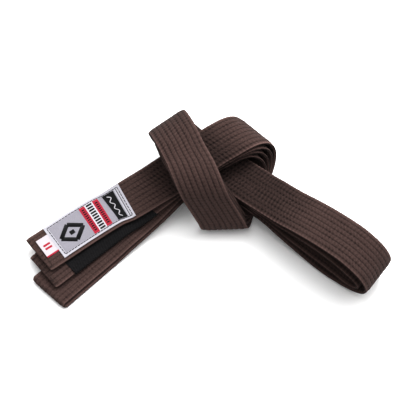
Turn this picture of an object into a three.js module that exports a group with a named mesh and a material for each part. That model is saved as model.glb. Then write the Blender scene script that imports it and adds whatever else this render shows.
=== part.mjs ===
// Jiu-jitsu belt, folded in four and tied in a loose overhand knot, lying on a flat surface.
// Millimetres, +Z up.
//
// The four layers of the folded belt lie in one bundle. A place in the bundle is (s, u, h):
// s runs along it, u across it and h through its thickness. place() bends the flat bundle
// into the knot, so every layer, patch and core is made flat and bent with it.
import * as THREE from 'three';

// Belt
const BELT_WIDTH = 40;
const BELT_THICKNESS = 3.4;
const LAYER_PITCH = 3.7;
const COVER_WALL = 0.6;
const CORE_GAP = 0.3;
const JOIN_GAP = 0.3;

// Patches
const LABEL = { length: 83, width: 36.6, thickness: 0.7, start: 17, shift: 1.2 };
const TAG = { length: 12, width: 20, thickness: 0.5, shift: 2 };
const RANK_BAR = { start: 22, length: 94, wall: 0.4 };
const PATCH_GAP = 0.3;

// Left arm: where it starts on the ground, its heading and its rise onto the knot
const START = { x: -159.12, y: -35.72, heading: 27.84 };
const ARM = { riseAt: 75.41, riseAngle: 23.74, riseLength: 86.54, crestAngle: 9.47 };
// Curl: the half turn down at the right of the knot, opening a tunnel under it
const CURL = { slant: -19.75, lead: 11.09, easeAngle: 18.3, easeRadius: 34.56, looseness: 0.12 };
// Return strip on the ground, then the bottom fold up into the band over the knot
const BOTTOM_FOLD = { after: 45.87, slant: 24.8, radius: 7.7, lift: 66.82, crestRadius: 25.02 };
const BAND = { height: 62.85, length: 11.1, swing: -4.19 };
// Top fold down behind the knot, then the way up through the tunnel
const TOP_FOLD = { slant: -14.58, radius: 20.24, dip: 32.21, dipRadius: 35, height: 11.89 };
const TUNNEL = { riseAngle: 7.11, riseRadius: 35, height: 27.73 };
const GENTLE_RADIUS = 30;

// Loose ends: the layers turn away from each other in their own planes, in degrees
const FANS = [
  { pivot: 92, ease: 60, angles: { 1: 8.9, 2: 7.1, 3: 2.1, 4: 2.1 } },
  { pivot: 184, ease: 50, angles: { 1: 0, 2: 6, 3: 13.5, 4: 13.5 } },
];
const TAIL_SPREAD = { step: 1.25, from: 108, to: 138 };
const TAIL_START = { 1: 0, 2: -7, 3: -14, 4: -14 };
const HINGE = { 1: 138, 2: 130 };

// Right arm: both turns of the folded belt, as (distance back from the tip, height)
const RIGHT_ARM_LENGTH = 118.5;
const OUTER_LOOP = [
  [104, 36.6], [86, 43], [61, 48.8], [35, 51.2], [19.5, 48], [9, 42.5], [2, 34], [0, 25.5],
  [3.5, 16], [14, 8.4], [27, 4], [45, 1.9], [66, 5.5], [88, 12], [105, 18],
];
const INNER_LOOP = [
  [104, 31.8], [83, 36.8], [59, 39.3], [40, 38.4], [22, 33.6], [11.5, 27.9], [8.4, 22.2],
  [12, 16.3], [21, 14.3], [36, 16.6], [58, 18.6], [82, 20], [104, 23.4],
];

const FOLD_STEP = 15;
const GENTLE_STEP = 9;

const rad = THREE.MathUtils.degToRad;
const HALF_WIDTH = BELT_WIDTH / 2;
const HALF_THICKNESS = BELT_THICKNESS / 2;
const GROUND = 1.5 * LAYER_PITCH + HALF_THICKNESS;
const LAYERS = [1, 2, 3, 4];

// ---------------------------------------------------------------- the bends of the knot

function makeKnot() {
  const bends = [];
  const marks = {};
  let at = 0;
  const straight = (length, slant = 0) => {
    at += length / Math.cos(rad(slant));
  };
  const bend = (angle, radius, slant) => {
    const length = Math.abs(rad(angle)) * radius;
    bends.push({ at, length, angle: rad(angle), slant: rad(slant), flat: false });
    straight(length, slant);
  };
  const swing = (angle, length) => {
    bends.push({ at, length, angle: rad(angle), slant: 0, flat: true });
    straight(length);
  };

  // left arm
  at = ARM.riseAt;
  bend(ARM.riseAngle, GENTLE_RADIUS, CURL.slant);
  straight(ARM.riseLength, CURL.slant);
  marks.armTop = at;
  bend(ARM.crestAngle - ARM.riseAngle, GENTLE_RADIUS, CURL.slant);
  straight(CURL.lead, CURL.slant);
  marks.curl = at;

  // curl down to the ground
  const rise = rad(ARM.riseAngle);
  const crest = rad(ARM.crestAngle);
  const eased = rad(ARM.crestAngle - CURL.easeAngle);
  const climb = GENTLE_RADIUS * (1 - Math.cos(rise)) + ARM.riseLength * Math.sin(rise)
    + GENTLE_RADIUS * (Math.cos(crest) - Math.cos(rise)) + CURL.lead * Math.sin(crest)
    + CURL.easeRadius * (Math.cos(eased) - Math.cos(crest));
  bend(-CURL.easeAngle, CURL.easeRadius, CURL.slant);
  bend(CURL.easeAngle - 180 - ARM.crestAngle, climb / (1 + Math.cos(eased)), CURL.slant);
  marks.curlEnd = at;

  // return strip, bottom fold and the band over the knot
  straight(BOTTOM_FOLD.after);
  marks.bottomFold = at;
  const lift = rad(BOTTOM_FOLD.lift);
  const liftLength = (BAND.height - GROUND - BOTTOM_FOLD.radius * (1 + Math.cos(lift))
    - BOTTOM_FOLD.crestRadius * (1 - Math.cos(lift))) / Math.sin(lift);
  bend(BOTTOM_FOLD.lift - 180, BOTTOM_FOLD.radius, BOTTOM_FOLD.slant);
  marks.band = at;
  straight(liftLength, BOTTOM_FOLD.slant);
  bend(-BOTTOM_FOLD.lift, BOTTOM_FOLD.crestRadius, BOTTOM_FOLD.slant);
  straight(5);
  marks.bandTop = at;
  swing(BAND.swing, BAND.length);
  straight(5);
  const dip = rad(TOP_FOLD.dip);
  const dipLength = (BAND.height - GROUND - TOP_FOLD.height - TOP_FOLD.radius * (1 + Math.cos(dip))
    - TOP_FOLD.dipRadius * (1 - Math.cos(dip))) / Math.sin(dip);
  bend(-TOP_FOLD.dip, TOP_FOLD.dipRadius, TOP_FOLD.slant);
  straight(dipLength, TOP_FOLD.slant);
  marks.topFold = at;

  // top fold, then up through the tunnel onto the return strip
  bend(TOP_FOLD.dip - 180, TOP_FOLD.radius, TOP_FOLD.slant);
  marks.tunnel = at;
  const up = rad(TUNNEL.riseAngle);
  const upLength = (TUNNEL.height - GROUND - TOP_FOLD.height
    - 2 * TUNNEL.riseRadius * (1 - Math.cos(up))) / Math.sin(up);
  bend(-TUNNEL.riseAngle, TUNNEL.riseRadius, TOP_FOLD.slant);
  straight(upLength, TOP_FOLD.slant);
  bend(TUNNEL.riseAngle, TUNNEL.riseRadius, TOP_FOLD.slant);
  straight(HALF_WIDTH);
  marks.rightArm = at;
  marks.tip = at + RIGHT_ARM_LENGTH;
  return { bends, marks };
}

const { bends: BENDS, marks: MARKS } = makeKnot();

// Carries a point of the flat bundle through one bend. A bend before the one that holds the
// point moves it whole, even where a later fold brings the point back over the bend.
function throughBend(bend, point, whole) {
  const { at, length, angle, slant, flat } = bend;
  const along = new THREE.Vector3(Math.sin(slant), Math.cos(slant), 0);
  const across = new THREE.Vector3(Math.cos(slant), -Math.sin(slant), 0);
  const from = point.clone().setX(point.x - at);
  const distance = from.dot(across);
  const turn = whole ? angle : (Math.min(distance, length) / length) * angle;
  const beyond = whole ? distance - length : Math.max(distance - length, 0);
  const radius = length / angle - (flat ? point.y : point.z);
  const forward = radius * Math.sin(turn) + beyond * Math.cos(turn);
  const sideways = length / angle - radius * Math.cos(turn) + beyond * Math.sin(turn);
  if (flat) return new THREE.Vector3(at + forward, sideways, point.z);
  return new THREE.Vector3(at, 0, sideways)
    .addScaledVector(along, from.dot(along))
    .addScaledVector(across, forward);
}

// Place of the flat bundle point (s, u, h) in the knot.
function place(s, u, h) {
  let point = new THREE.Vector3(s, u, h);
  const isPast = ({ at, slant }) => (s - at) * Math.cos(slant) > u * Math.sin(slant);
  const past = BENDS.filter(isPast);
  for (let i = past.length - 1; i >= 0; i -= 1) {
    point = throughBend(past[i], point, i < past.length - 1);
  }
  const heading = rad(START.heading);
  return new THREE.Vector3(
    START.x + point.x * Math.cos(heading) - point.y * Math.sin(heading),
    START.y + point.x * Math.sin(heading) + point.y * Math.cos(heading),
    GROUND + point.z,
  );
}

// ---------------------------------------------------------------- the layers

const smooth = (t) => THREE.MathUtils.smoothstep(t, 0, 1);

// Height of a layer's middle in the bundle: looser at the curl, and spread at the left ends.
function layerHeight(layer, s) {
  const offset = (2.5 - layer) * LAYER_PITCH;
  const loose = smooth((s - MARKS.curl + 25) / 35) * (1 - smooth((s - MARKS.curlEnd + 45) / 40));
  const spreading = (s - TAIL_SPREAD.from) / (TAIL_SPREAD.to - TAIL_SPREAD.from);
  const spread = TAIL_SPREAD.step * (1 - smooth(spreading)) * Math.max(3 - layer, 0);
  return offset * (1 + CURL.looseness * loose) + spread;
}

// The layers fan out sideways at the left, each turning left of the pivots.
function fanned(layer, s, u) {
  let place2d = [s, u];
  for (const { pivot, ease, angles } of FANS) {
    const angle = rad(angles[layer]);
    const back = pivot - place2d[0];
    if (back > 0 && angle !== 0) {
      const turn = angle * Math.min(back / ease, 1);
      const beyond = Math.max(back - ease, 0);
      const radius = ease / angle;
      const reach = radius + place2d[1];
      place2d = [
        pivot - reach * Math.sin(turn) - beyond * Math.cos(turn),
        reach * Math.cos(turn) - beyond * Math.sin(turn) - radius,
      ];
    }
  }
  return place2d;
}

// How far a layer has turned from the bundle at s.
function fanTurn(layer, s) {
  return FANS.reduce((sum, { pivot, ease, angles }) => (
    sum + rad(angles[layer]) * THREE.MathUtils.clamp((pivot - s) / ease, 0, 1)
  ), 0);
}

// Slant of the line across the strip that keeps straight as the strip bends.
function slantAt(s) {
  if (s < 0) return 0;
  let before = { s: 0, slant: 0 };
  for (const { at, length, slant, flat } of BENDS) {
    if (flat) continue;
    const end = at + length / Math.cos(slant);
    if (s < at) {
      return before.slant + ((slant - before.slant) * (s - before.s)) / (at - before.s);
    }
    if (s <= end) return slant;
    before = { s: end, slant };
  }
  const fade = Math.max(1 - (s - before.s) / HALF_WIDTH, 0);
  return before.slant * fade;
}

// Stations along the bundle between two places, close together where it bends.
function stationsAlong(from, to) {
  const cuts = new Set([from, to]);
  const add = (start, end, count) => {
    for (let i = 0; i <= count; i += 1) cuts.add(start + ((end - start) * i) / count);
  };
  for (const { at, length, angle, slant, flat } of BENDS) {
    const turn = THREE.MathUtils.radToDeg(Math.abs(angle));
    const step = turn > 60 ? FOLD_STEP : GENTLE_STEP;
    add(at, at + length / Math.cos(slant), flat ? 2 : Math.ceil(turn / step));
  }
  for (const { pivot, ease } of FANS) add(pivot - ease, pivot, 3);
  add(MARKS.curl - 25, MARKS.curl, 2);
  add(TAIL_SPREAD.from, TAIL_SPREAD.to, 3);
  add(TAIL_START[2] + RANK_BAR.start, TAIL_START[2] + RANK_BAR.start + RANK_BAR.length, 1);
  const inside = [...cuts].filter((s) => s >= from && s <= to).sort((a, b) => a - b);
  return inside.filter((s, i) => i === 0 || s === to || (s - inside[i - 1] > 0.8 && to - s > 0.8));
}

// A station: the place (s, h) of the strip's middle, its direction in the (s, h) plane, the
// slant of the line across it, and its layer.
function layerStations(layer, from, to) {
  return stationsAlong(from, to).map((s) => {
    const turned = fanTurn(layer, s) * THREE.MathUtils.clamp(s / ARM.riseAt, 0, 1);
    return { s, h: layerHeight(layer, s), ds: 1, dh: 0, slant: slantAt(s) + turned, layer };
  });
}

// Stations round a turn of the strip, from points (s, h) of its middle.
function curveStations(points, count, layer, slant = 0) {
  const curve = new THREE.SplineCurve(points.map(([s, h]) => new THREE.Vector2(s, h)));
  return Array.from({ length: count + 1 }, (_, i) => {
    const at = curve.getPointAt(i / count);
    const heading = curve.getTangentAt(i / count);
    return { s: at.x, h: at.y, ds: heading.x, dh: heading.y, slant, layer };
  });
}

// World place of a station's point u across the strip and t out from its middle.
function stationPoint(station, u, t) {
  const { s, h, ds, dh, slant, layer } = station;
  const along = s - dh * t + u * Math.tan(slant);
  const [fs, fu] = fanned(layer, along, u);
  return place(fs, fu, h + ds * t);
}

// ---------------------------------------------------------------- solids

const box = (halfWidth, halfThickness, middle = 0, shift = 0) => [
  [shift - halfWidth, middle - halfThickness],
  [shift + halfWidth, middle - halfThickness],
  [shift + halfWidth, middle + halfThickness],
  [shift - halfWidth, middle + halfThickness],
];

// A box outline with points between its corners, so that it can follow a bend askew to it.
const plate = (halfWidth, halfThickness, middle, shift, columns) => {
  const across = Array.from({ length: columns + 1 }, (_, i) => (
    shift - halfWidth + (2 * halfWidth * i) / columns
  ));
  const low = across.map((u) => [u, middle - halfThickness]);
  const high = across.map((u) => [u, middle + halfThickness]);
  return [...low, ...high.reverse()];
};

function solidFrom(positions, triangles) {
  let volume = 0;
  for (const [a, b, c] of triangles) {
    volume += positions[a].dot(positions[b].clone().cross(positions[c]));
  }
  const index = triangles.flatMap(([a, b, c]) => (volume > 0 ? [a, b, c] : [a, c, b]));
  const geometry = new THREE.BufferGeometry();
  geometry.setFromPoints(positions);
  geometry.setIndex(index);
  geometry.computeVertexNormals();
  return geometry;
}

// Joins the rings of one swept outline; `inward` turns the faces over for a cavity wall.
function sweepWalls(triangles, base, rings, sides, inward) {
  for (let i = 0; i + 1 < rings; i += 1) {
    for (let k = 0; k < sides; k += 1) {
      const a = base + i * sides + k;
      const b = base + i * sides + ((k + 1) % sides);
      const quad = [[a, b, b + sides], [a, b + sides, a + sides]];
      for (const [p, q, r] of quad) triangles.push(inward ? [p, r, q] : [p, q, r]);
    }
  }
}

function capRing(triangles, base, reversed, sides = 4) {
  for (let i = 0; i < sides / 2 - 1; i += 1) {
    const [a, b, c, d] = [base + i, base + i + 1, base + sides - 2 - i, base + sides - 1 - i];
    const quad = [[a, c, b], [a, d, c]];
    for (const [p, q, r] of quad) triangles.push(reversed ? [p, r, q] : [p, q, r]);
  }
}

// A bar of one outline along the stations.
function sweptBar(stations, outline) {
  const positions = stations.flatMap((st) => outline.map(([u, t]) => stationPoint(st, u, t)));
  const triangles = [];
  sweepWalls(triangles, 0, stations.length, outline.length, false);
  capRing(triangles, 0, false, outline.length);
  capRing(triangles, (stations.length - 1) * outline.length, true, outline.length);
  return solidFrom(positions, triangles);
}

// A sleeve with an outer and an inner outline, open at both ends, or closed at its start.
function sweptSleeve(stations, outer, inner, closedStart = false) {
  const cavity = closedStart ? stations.slice(1) : stations;
  const positions = [
    ...stations.flatMap((st) => outer.map(([u, t]) => stationPoint(st, u, t))),
    ...cavity.flatMap((st) => inner.map(([u, t]) => stationPoint(st, u, t))),
  ];
  const triangles = [];
  const innerBase = stations.length * 4;
  sweepWalls(triangles, 0, stations.length, 4, false);
  sweepWalls(triangles, innerBase, cavity.length, 4, true);
  const rim = (outerRing, innerRing, reversed) => {
    for (let k = 0; k < 4; k += 1) {
      const n = (k + 1) % 4;
      const quad = [
        [outerRing + k, innerRing + k, innerRing + n],
        [outerRing + k, innerRing + n, outerRing + n],
      ];
      for (const [p, q, r] of quad) triangles.push(reversed ? [p, r, q] : [p, q, r]);
    }
  };
  if (closedStart) {
    capRing(triangles, 0, false);
    capRing(triangles, innerBase, true);
  } else {
    rim(0, innerBase, false);
  }
  rim((stations.length - 1) * 4, innerBase + (cavity.length - 1) * 4, true);
  return solidFrom(positions, triangles);
}

// ---------------------------------------------------------------- materials and group

const cloth = (color, roughness = 0.9) => new THREE.MeshStandardMaterial({
  color, roughness, metalness: 0,
});
const BROWN = '#4a3632';
const FILLER = '#cfc8bb';
const BLACK = '#17171a';
const SILVER = '#c3bec6';
const WHITE = '#e9e3e6';

const belt = new THREE.Group();
belt.name = 'martial_arts_belt';

function addPiece(name, geometry, color) {
  const mesh = new THREE.Mesh(geometry, cloth(color));
  mesh.name = name;
  belt.add(mesh);
}

const COVER_OUTER = box(HALF_WIDTH, HALF_THICKNESS);
const COVER_INNER = box(HALF_WIDTH - COVER_WALL, HALF_THICKNESS - COVER_WALL);
const CORE_SECTION = box(
  HALF_WIDTH - COVER_WALL - 2 * CORE_GAP,
  HALF_THICKNESS - COVER_WALL - CORE_GAP,
);

const addCover = (name, stations, closedStart) => addPiece(
  `cover_${name}`, sweptSleeve(stations, COVER_OUTER, COVER_INNER, closedStart), BROWN,
);
const addCore = (name, stations) => addPiece(
  `core_${name}`, sweptBar(stations, CORE_SECTION), FILLER,
);

const RUN_NAMES = { 1: 'label_run', 2: 'rank_bar_run', 3: 'inner_run', 4: 'ground_run' };
const FOLD_END = 8;
const END_SEAM = 3;

// The stretches that every layer has in the knot, from the tails to the right arm.
const STRETCHES = [
  ['left_arm', HINGE[1], MARKS.curl - 6],
  ['curl', MARKS.curl - 6, MARKS.curlEnd + 4],
  ['bottom_fold', MARKS.curlEnd + 4, MARKS.band + 6],
  ['over_band', MARKS.band + 6, MARKS.topFold - 5],
  ['top_fold', MARKS.topFold - 5, MARKS.tunnel + 5],
  ['through_tunnel', MARKS.tunnel + 5, MARKS.rightArm],
];

const stretchStart = (layer, name, from) => {
  if (name !== 'left_arm') return from;
  return layer > 2 ? TAIL_START[layer] + FOLD_END : HINGE[layer];
};

for (const layer of LAYERS) {
  for (const [name, from, to] of STRETCHES) {
    const start = stretchStart(layer, name, from);
    addCover(`${RUN_NAMES[layer]}_${name}`, layerStations(layer, start, to - JOIN_GAP));
  }
  const coreStart = stretchStart(layer, 'left_arm', 0);
  addCore(`${RUN_NAMES[layer]}_knot`, layerStations(layer, coreStart, MARKS.rightArm - JOIN_GAP));
}

// Loose ends: the cover is closed at the cut end, and the core stops short of its seam.
const tailStations = (layer, inset) => {
  const start = TAIL_START[layer];
  const stations = layerStations(layer, start + inset, HINGE[layer] - JOIN_GAP);
  if (inset > 0) return stations;
  const seam = { ...stations[0], s: start + END_SEAM };
  return [stations[0], seam, ...stations.slice(1)];
};
addCover('label_tail', tailStations(1, 0), true);
addCore('label_tail', tailStations(1, END_SEAM + CORE_GAP));
addCover('rank_bar_tail', tailStations(2, 0), true);
addCore('rank_bar_tail', tailStations(2, END_SEAM + CORE_GAP));

// Centre fold of the belt, where layers 3 and 4 meet at the left.
function centreFoldStations() {
  const end = TAIL_START[3];
  const middle = (layerHeight(3, end) + layerHeight(4, end)) / 2;
  const half = LAYER_PITCH / 2;
  const straightEnd = end + FOLD_END - JOIN_GAP;
  const count = 8;
  const turn = Array.from({ length: count + 1 }, (_, i) => {
    const angle = Math.PI / 2 + (Math.PI * i) / count;
    return {
      s: end + half + HALF_THICKNESS + half * Math.cos(angle),
      h: middle + half * Math.sin(angle),
      ds: -Math.sin(angle),
      dh: Math.cos(angle),
      slant: 0,
      layer: 3,
    };
  });
  const lead = { s: straightEnd, h: middle + half, ds: -1, dh: 0, slant: 0, layer: 3 };
  const exit = { s: straightEnd, h: middle - half, ds: 1, dh: 0, slant: 0, layer: 3 };
  return [lead, ...turn, exit];
}
addCover('centre_fold', centreFoldStations());
addCore('centre_fold', centreFoldStations());

// Right arm: the outer loop joins layers 4 and 1, the inner loop layers 3 and 2.
function loopPoints(loop, topLayer, bottomLayer) {
  const start = MARKS.rightArm;
  const toBundle = ([back, height]) => [MARKS.tip - back, TUNNEL.height - height];
  const lead = (layer) => [
    [start, layerHeight(layer, start)],
    [start + 5, layerHeight(layer, start)],
  ];
  const [bottomStart, bottomLead] = lead(bottomLayer);
  return [...lead(topLayer), ...loop.map(toBundle), bottomLead, bottomStart];
}

// Each loop is parted into an upper run, the turn at the tip and a lower run.
function addLoop(name, loop, topLayer, bottomLayer) {
  const count = 30;
  const stations = curveStations(loopPoints(loop, topLayer, bottomLayer), count, 1);
  const upperEnd = stations.findIndex(({ s }) => s > MARKS.tip - 55);
  const lowerStart = stations.findLastIndex(({ s }) => s > MARKS.tip - 55);
  const shortened = (part) => {
    const last = part.at(-1);
    const moved = { ...last, s: last.s - last.ds * JOIN_GAP, h: last.h - last.dh * JOIN_GAP };
    return [...part.slice(0, -1), moved];
  };
  addCover(`${name}_upper`, shortened(stations.slice(0, upperEnd + 1)));
  addCover(`${name}_turn`, shortened(stations.slice(upperEnd, lowerStart + 1)));
  addCover(`${name}_lower`, stations.slice(lowerStart));
  addCore(name, stations);
}
addLoop('outer_loop', OUTER_LOOP, 4, 1);
addLoop('inner_loop', INNER_LOOP, 3, 2);

// Rank bar: a sleeve round the rank bar tail.
const barStart = TAIL_START[2] + RANK_BAR.start;
const barInner = box(HALF_WIDTH + PATCH_GAP, HALF_THICKNESS + PATCH_GAP);
const barOuter = box(
  HALF_WIDTH + PATCH_GAP + RANK_BAR.wall,
  HALF_THICKNESS + PATCH_GAP + RANK_BAR.wall,
);
const barStations = layerStations(2, barStart, barStart + RANK_BAR.length);
addPiece('rank_bar', sweptSleeve(barStations, barOuter, barInner), BLACK);

// Woven label and size tag: rectangles on top of the label tail.
const patchMiddle = (thickness) => HALF_THICKNESS + PATCH_GAP + thickness / 2;
const PATCH_STEP = 3;
const PATCH_COLUMNS = 6;

function addPatch(name, patch, from, to, color) {
  const count = Math.ceil((to - from) / PATCH_STEP);
  const stations = Array.from({ length: count + 1 }, (_, i) => {
    const s = from + ((to - from) * i) / count;
    return { s, h: layerHeight(1, s), ds: 1, dh: 0, slant: 0, layer: 1 };
  });
  const { width, thickness, shift } = patch;
  const outline = plate(width / 2, thickness / 2, patchMiddle(thickness), shift, PATCH_COLUMNS);
  addPiece(name, sweptBar(stations, outline), color);
}
const tagEnd = LABEL.start - JOIN_GAP;
addPatch('woven_label', LABEL, LABEL.start, LABEL.start + LABEL.length, SILVER);
addPatch('size_tag', TAG, tagEnd - TAG.length, tagEnd, WHITE);

export default belt;
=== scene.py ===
"""Looks of the brown jiu-jitsu belt: quilted cover, stitches, rank bar, woven label, size tag."""

import math

import bpy
import numpy as np
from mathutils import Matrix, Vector


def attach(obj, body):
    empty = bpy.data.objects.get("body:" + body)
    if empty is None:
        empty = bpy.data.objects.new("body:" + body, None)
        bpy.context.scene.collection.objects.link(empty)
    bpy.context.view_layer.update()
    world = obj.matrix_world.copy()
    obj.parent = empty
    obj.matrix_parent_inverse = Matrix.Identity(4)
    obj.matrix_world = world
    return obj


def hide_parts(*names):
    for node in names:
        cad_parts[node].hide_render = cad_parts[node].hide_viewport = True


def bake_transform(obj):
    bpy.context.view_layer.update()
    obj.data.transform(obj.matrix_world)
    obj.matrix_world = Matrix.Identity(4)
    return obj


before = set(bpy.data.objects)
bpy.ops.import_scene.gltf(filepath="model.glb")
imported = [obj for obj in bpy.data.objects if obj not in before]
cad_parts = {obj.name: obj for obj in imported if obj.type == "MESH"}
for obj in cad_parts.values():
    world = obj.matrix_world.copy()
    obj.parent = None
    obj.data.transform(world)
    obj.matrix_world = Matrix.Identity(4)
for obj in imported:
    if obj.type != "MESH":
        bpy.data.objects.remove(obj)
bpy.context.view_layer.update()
rng = np.random.default_rng(23)

# ------------------------------------------------------------------ the bundle, in millimetres
# The folded belt is a bundle of four layers. A place in it is (s, u, h): along, across, through.

MM = 0.001
LAYER_PITCH = 3.7
HALF_WIDTH = 20
GROUND = 7.25

START = {"x": -159.12, "y": -35.72, "heading": 27.84}
ARM = {"rise_at": 75.41, "rise": 23.74, "length": 86.54, "crest": 9.47}
CURL = {
    "slant": -19.75, "lead": 11.09, "ease": 18.3, "ease_radius": 34.56, "looseness": 0.12,
    "loosens": (25, 35), "tightens": (45, 40),
}
BOTTOM = {"after": 45.87, "slant": 24.8, "radius": 7.7, "lift": 66.82, "crest_radius": 25.02}
BAND = {"height": 62.85, "length": 11.1, "swing": -4.19, "margin": 5}
TOP = {"slant": -14.58, "radius": 20.24, "dip": 32.21, "dip_radius": 35, "height": 11.89}
TUNNEL = {"rise": 7.11, "radius": 35, "height": 27.73}
GENTLE_RADIUS = 30
RIGHT_ARM_LENGTH = 118.5
FANS = [
    (92, 60, {1: 8.9, 2: 7.1, 3: 2.1, 4: 2.1}),
    (184, 50, {1: 0, 2: 6, 3: 13.5, 4: 13.5}),
]
SPREAD = {"step": 1.25, "start": 108, "end": 138}
LABEL_TAIL, BAR_TAIL, FOLD_TAIL = -1.5, -7, -14
CENTRE_FOLD_GAP = 1.7
# The loops of the right arm, as points (distance back from the tip, distance down from the top).
OUTER_LOOP = [
    (104, 36.6), (86, 43), (61, 48.8), (35, 51.2), (19.5, 48), (9, 42.5), (2, 34), (0, 25.5),
    (3.5, 16), (14, 8.4), (27, 4), (45, 1.9), (66, 5.5), (88, 12), (105, 18),
]
INNER_LOOP = [
    (104, 31.8), (83, 36.8), (59, 39.3), (40, 38.4), (22, 33.6), (11.5, 27.9), (8.4, 22.2),
    (12, 16.3), (21, 14.3), (36, 16.6), (58, 18.6), (82, 20), (104, 23.4),
]
LOOP_LEAD = 5

# What the visible cover adds to the plain solids, all in millimetres.
CURL_OPENED = 0.4  # share by which the layers stand further apart round the curl
CURL_OPENS = {"over": 30, "closes": (40, 35)}
EASE_REACH = 22.0  # half the stretch that is smoothed where a loop joins a layer
END_SKEW = {"slope": 0.08, "start": 15, "over": 35}
EARLY_RISE = {"height": 2.6, "after": 3, "reach": 25}
FOLD_STEP = {"side": 1.6, "fades_at": 130, "over": 40}
VALLEY = {"height": 2.2, "reach": 22.0, "after": 2, "skew": 0.359, "tilt": 0.6}


def make_bends():
    """The bends (place, length, angle, slant, flat) of the bundle's path, and places on it."""
    bends, marks = [], {}
    at = 0.0

    def straight(length, slant=0.0):
        nonlocal at
        at += length / math.cos(math.radians(slant))

    def bend(angle, radius, slant):
        length = abs(math.radians(angle)) * radius
        bends.append((at, length, math.radians(angle), math.radians(slant), False))
        straight(length, slant)

    at = ARM["rise_at"]
    bend(ARM["rise"], GENTLE_RADIUS, CURL["slant"])
    straight(ARM["length"], CURL["slant"])
    bend(ARM["crest"] - ARM["rise"], GENTLE_RADIUS, CURL["slant"])
    straight(CURL["lead"], CURL["slant"])
    marks["curl"] = at

    rise, crest = math.radians(ARM["rise"]), math.radians(ARM["crest"])
    eased = math.radians(ARM["crest"] - CURL["ease"])
    climb = GENTLE_RADIUS * (1 - math.cos(rise)) + ARM["length"] * math.sin(rise)
    climb += GENTLE_RADIUS * (math.cos(crest) - math.cos(rise)) + CURL["lead"] * math.sin(crest)
    climb += CURL["ease_radius"] * (math.cos(eased) - math.cos(crest))
    bend(-CURL["ease"], CURL["ease_radius"], CURL["slant"])
    bend(CURL["ease"] - 180 - ARM["crest"], climb / (1 + math.cos(eased)), CURL["slant"])
    marks["curl_end"] = at

    straight(BOTTOM["after"])
    marks["bottom_fold"] = at
    lift = math.radians(BOTTOM["lift"])
    height = BAND["height"] - GROUND - BOTTOM["radius"] * (1 + math.cos(lift))
    height -= BOTTOM["crest_radius"] * (1 - math.cos(lift))
    bend(BOTTOM["lift"] - 180, BOTTOM["radius"], BOTTOM["slant"])
    marks["band"] = at
    straight(height / math.sin(lift), BOTTOM["slant"])
    bend(-BOTTOM["lift"], BOTTOM["crest_radius"], BOTTOM["slant"])
    straight(BAND["margin"])
    marks["band_top"] = at
    bends.append((at, BAND["length"], math.radians(BAND["swing"]), 0.0, True))
    straight(BAND["length"] + BAND["margin"])
    dip = math.radians(TOP["dip"])
    height = BAND["height"] - GROUND - TOP["height"] - TOP["radius"] * (1 + math.cos(dip))
    height -= TOP["dip_radius"] * (1 - math.cos(dip))
    bend(-TOP["dip"], TOP["dip_radius"], TOP["slant"])
    straight(height / math.sin(dip), TOP["slant"])
    marks["top_fold"] = at

    bend(TOP["dip"] - 180, TOP["radius"], TOP["slant"])
    marks["tunnel"] = at
    up = math.radians(TUNNEL["rise"])
    height = TUNNEL["height"] - GROUND - TOP["height"]
    height -= 2 * TUNNEL["radius"] * (1 - math.cos(up))
    bend(-TUNNEL["rise"], TUNNEL["radius"], TOP["slant"])
    straight(height / math.sin(up), TOP["slant"])
    bend(TUNNEL["rise"], TUNNEL["radius"], TOP["slant"])
    straight(HALF_WIDTH)
    marks["right_arm"] = at
    marks["tip"] = at + RIGHT_ARM_LENGTH
    return bends, marks


BENDS, MARKS = make_bends()


def through_bend(bend, x, y, z, whole):
    """Points carried through one bend; whole marks those already past a later bend."""
    at, length, angle, slant, flat = bend
    cos, sin = math.cos(slant), math.sin(slant)
    distance = (x - at) * cos - y * sin
    along = (x - at) * sin + y * cos
    turn = np.where(whole, angle, np.minimum(distance, length) / length * angle)
    beyond = np.where(whole, distance - length, np.maximum(distance - length, 0))
    radius = length / angle - (y if flat else z)
    forward = radius * np.sin(turn) + beyond * np.cos(turn)
    sideways = length / angle - radius * np.cos(turn) + beyond * np.sin(turn)
    if flat:
        return at + forward, sideways, z
    return at + along * sin + forward * cos, along * cos - forward * sin, sideways


def place(s, u, h):
    """World place in millimetres of bundle points; arrays of one shape in, (..., 3) out."""
    x, y, z = (np.array(v, float) for v in (s, u, h))
    past = [(s - b[0]) * math.cos(b[3]) > u * math.sin(b[3]) for b in BENDS]
    later = np.zeros(x.shape, bool)
    for bend, here in reversed(list(zip(BENDS, past))):
        nx, ny, nz = through_bend(bend, x, y, z, later)
        x, y, z = (np.where(here, new, old) for new, old in ((nx, x), (ny, y), (nz, z)))
        later |= here
    heading = math.radians(START["heading"])
    return np.stack([
        START["x"] + x * math.cos(heading) - y * math.sin(heading),
        START["y"] + x * math.sin(heading) + y * math.cos(heading),
        GROUND + z,
    ], axis=-1)


def smooth(t):
    t = np.clip(t, 0, 1)
    return t * t * (3 - 2 * t)


def curl_opening(s):
    """How far the layers stand apart round the curl, 0 to 1."""
    before, over = CURL_OPENS["closes"]
    closing = smooth((s - MARKS["curl_end"] + before) / over)
    return smooth((s - MARKS["curl"]) / CURL_OPENS["over"]) * (1 - closing)


def layer_height(layer, s):
    """Height of a layer's middle above the middle of the bundle."""
    before, over = CURL["loosens"]
    loose = smooth((s - MARKS["curl"] + before) / over)
    before, over = CURL["tightens"]
    loose = loose * (1 - smooth((s - MARKS["curl_end"] + before) / over))
    spread = 1 - smooth((s - SPREAD["start"]) / (SPREAD["end"] - SPREAD["start"]))
    looseness = CURL["looseness"] * loose + CURL_OPENED * curl_opening(s)
    height = (2.5 - layer) * LAYER_PITCH * (1 + looseness)
    return height + SPREAD["step"] * spread * np.maximum(3 - layer, 0)


def fan_angle(angles, layer):
    return np.radians(np.select([layer == n for n in angles], list(angles.values())))


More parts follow.
